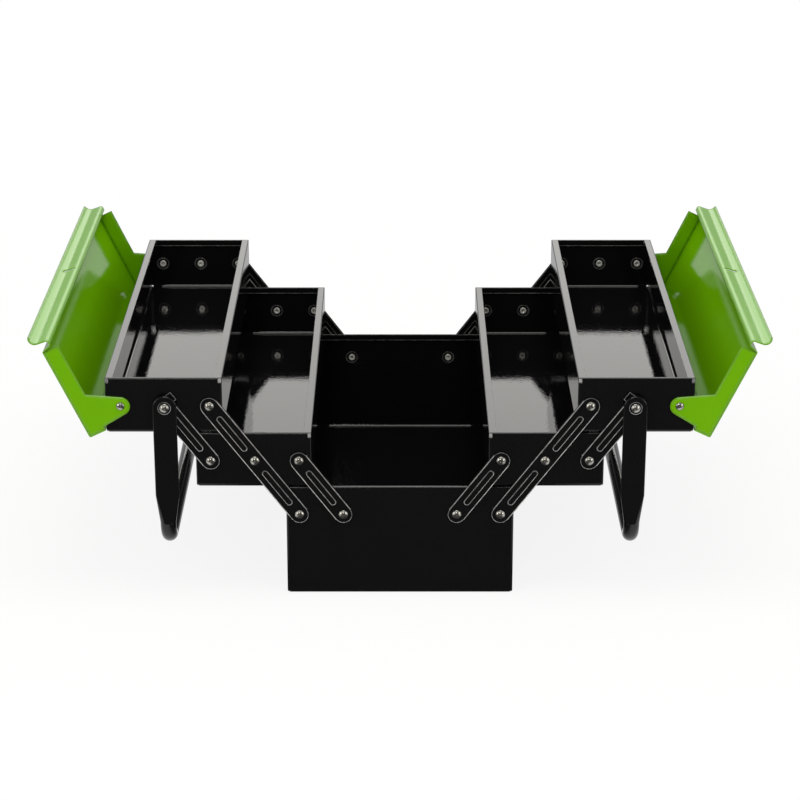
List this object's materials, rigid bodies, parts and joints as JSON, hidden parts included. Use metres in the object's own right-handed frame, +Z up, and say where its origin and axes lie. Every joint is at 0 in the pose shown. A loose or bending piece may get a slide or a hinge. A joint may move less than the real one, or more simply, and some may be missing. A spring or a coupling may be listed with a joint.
{
  "type": "cantilever tool box",
  "caption": "Open cantilever tool box of folded sheet steel: deep base tray, tiered side trays on links, hinged lids and tube handles.",
  "frame": {"origin": "middle of the base tray's underside, where the box stands", "axes": "+Z up, +X across the open box towards the right-hand trays, +Y along the box away from the camera"},
  "size_m": [0.6402, 0.4338, 0.2389],
  "materials": {
    "black_enamel": "gloss",
    "green_enamel": "gloss",
    "nickel_steel": "bright nickel plate"
  },
  "bodies": {
    "base": {"base_tray": "black_enamel", "base_pivot_rivets": "nickel_steel"},
    "left_long_links": {"left_long_link_front": "black_enamel", "left_long_link_rear": "black_enamel"},
    "left_inner_links": {"left_inner_link_front": "black_enamel", "left_inner_link_rear": "black_enamel"},
    "left_lower_tray_body": {"left_lower_tray": "black_enamel", "left_lower_tray_rivets": "nickel_steel"},
    "left_outer_links": {"left_outer_link_front": "black_enamel", "left_outer_link_rear": "black_enamel"},
    "left_upper_tray_body": {"left_upper_tray": "black_enamel", "left_upper_link_rivets": "nickel_steel", "left_handle_rivets": "nickel_steel", "left_lid_rivets": "nickel_steel", "left_handle_washers": "black_enamel"},
    "left_lid_body": {"left_lid": "green_enamel", "left_lid_ends": "green_enamel"},
    "left_handle_body": {"left_handle": "black_enamel"},
    "right_long_links": {"right_long_link_front": "black_enamel", "right_long_link_rear": "black_enamel"},
    "right_inner_links": {"right_inner_link_front": "black_enamel", "right_inner_link_rear": "black_enamel"},
    "right_lower_tray_body": {"right_lower_tray": "black_enamel", "right_lower_tray_rivets": "nickel_steel"},
    "right_outer_links": {"right_outer_link_front": "black_enamel", "right_outer_link_rear": "black_enamel"},
    "right_upper_tray_body": {"right_upper_tray": "black_enamel", "right_upper_link_rivets": "nickel_steel", "right_handle_rivets": "nickel_steel", "right_lid_rivets": "nickel_steel", "right_handle_washers": "black_enamel"},
    "right_lid_body": {"right_lid": "green_enamel", "right_lid_ends": "green_enamel"},
    "right_handle_body": {"right_handle": "black_enamel"}
  },
  "joints": [
    {"name": "left_fold", "type": "hinge", "parent": "base", "child": "left_long_links", "pos_m": [-0.0882, 0, 0.07675], "axis": [0, 1, 0], "range_deg": [0, 74.17]},
    {"name": "left_inner_link_turn", "type": "hinge", "parent": "base", "child": "left_inner_links", "pos_m": [-0.0498, 0, 0.07675], "axis": [0, 1, 0], "range_deg": [0, 74.17]},
    {"name": "left_lower_tray_turn", "type": "hinge", "parent": "left_long_links", "child": "left_lower_tray_body", "pos_m": [-0.1266, 0, 0.12755], "axis": [0, 1, 0], "range_deg": [-74.17, 0]},
    {"name": "left_upper_tray_turn", "type": "hinge", "parent": "left_long_links", "child": "left_upper_tray_body", "pos_m": [-0.165, 0, 0.17835], "axis": [0, 1, 0], "range_deg": [-74.17, 0]},
    {"name": "left_outer_link_turn", "type": "hinge", "parent": "left_lower_tray_body", "child": "left_outer_links", "pos_m": [-0.165, 0, 0.12755], "axis": [0, 1, 0], "range_deg": [0, 74.17]},
    {"name": "left_lid_hinge", "type": "hinge", "parent": "left_upper_tray_body", "child": "left_lid_body", "pos_m": [-0.2418, 0, 0.17835], "axis": [0, 1, 0], "range_deg": [0, 115.5]},
    {"name": "left_handle_pivot", "type": "hinge", "parent": "left_outer_links", "child": "left_handle_body", "pos_m": [-0.2034, 0, 0.17835], "axis": [0, 1, 0], "range_deg": [0, 125.87]},
    {"name": "right_fold", "type": "hinge", "parent": "base", "child": "right_long_links", "pos_m": [0.0882, 0, 0.07675], "axis": [0, -1, 0], "range_deg": [0, 74.17]},
    {"name": "right_inner_link_turn", "type": "hinge", "parent": "base", "child": "right_inner_links", "pos_m": [0.0498, 0, 0.07675], "axis": [0, -1, 0], "range_deg": [0, 74.17]},
    {"name": "right_lower_tray_turn", "type": "hinge", "parent": "right_long_links", "child": "right_lower_tray_body", "pos_m": [0.1266, 0, 0.12755], "axis": [0, -1, 0], "range_deg": [-74.17, 0]},
    {"name": "right_upper_tray_turn", "type": "hinge", "parent": "right_long_links", "child": "right_upper_tray_body", "pos_m": [0.165, 0, 0.17835], "axis": [0, -1, 0], "range_deg": [-74.17, 0]},
    {"name": "right_outer_link_turn", "type": "hinge", "parent": "right_lower_tray_body", "child": "right_outer_links", "pos_m": [0.165, 0, 0.12755], "axis": [0, -1, 0], "range_deg": [0, 74.17]},
    {"name": "right_lid_hinge", "type": "hinge", "parent": "right_upper_tray_body", "child": "right_lid_body", "pos_m": [0.2418, 0, 0.17835], "axis": [0, -1, 0], "range_deg": [0, 115.5]},
    {"name": "right_handle_pivot", "type": "hinge", "parent": "right_outer_links", "child": "right_handle_body", "pos_m": [0.2034, 0, 0.17835], "axis": [0, -1, 0], "range_deg": [0, 125.87]}
  ],
  "couplings": [
    {"joint": "left_inner_link_turn", "follows": "left_fold", "ratio": 1},
    {"joint": "left_lower_tray_turn", "follows": "left_fold", "ratio": -1},
    {"joint": "left_upper_tray_turn", "follows": "left_fold", "ratio": -1},
    {"joint": "left_outer_link_turn", "follows": "left_fold", "ratio": 1},
    {"joint": "left_handle_pivot", "follows": "left_lid_hinge", "ratio": 1.0898},
    {"joint": "right_inner_link_turn", "follows": "right_fold", "ratio": 1},
    {"joint": "right_lower_tray_turn", "follows": "right_fold", "ratio": -1},
    {"joint": "right_upper_tray_turn", "follows": "right_fold", "ratio": -1},
    {"joint": "right_outer_link_turn", "follows": "right_fold", "ratio": 1},
    {"joint": "right_handle_pivot", "follows": "right_lid_hinge", "ratio": 1.0898}
  ]
}
